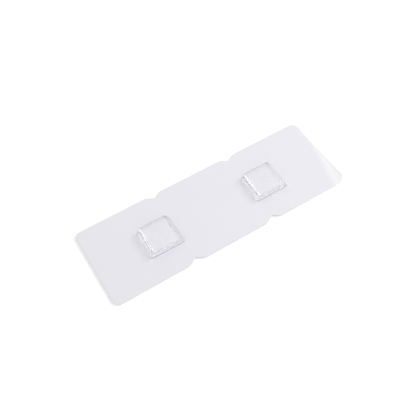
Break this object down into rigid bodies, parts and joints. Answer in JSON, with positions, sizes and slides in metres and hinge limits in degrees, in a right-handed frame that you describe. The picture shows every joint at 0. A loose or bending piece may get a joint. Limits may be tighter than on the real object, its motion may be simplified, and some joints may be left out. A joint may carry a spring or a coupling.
{
  "type": "adhesive hanging strip",
  "caption": "Translucent stick-on wall strip of notched square panels with two clear moulded hanging pockets for a mop holder, backed by gel adhesive and a peel-off liner.",
  "frame": {"origin": "on the underside of the liner, at the middle of the strip", "axes": "+X along the strip, +Y up when the strip is on a wall, +Z out of the wall towards the hooks"},
  "size_m": [0.18, 0.06, 0.0058],
  "materials": {
    "film": "translucent soft sheet with a fine satin grain",
    "hook": "clear polished moulding",
    "gel": "clear tacky gel, slightly milky",
    "liner": "thin pale release film"
  },
  "bodies": {
    "strip": {"carrier_film": "film", "adhesive_layer": "gel", "hook_left": "hook", "hook_right": "hook"},
    "liner": {"release_liner": "liner"}
  },
  "joints": [
    {"name": "liner_peel", "type": "slide", "parent": "strip", "child": "liner", "axis": [0, 0, -1], "range_m": [0, 0.02]}
  ]
}
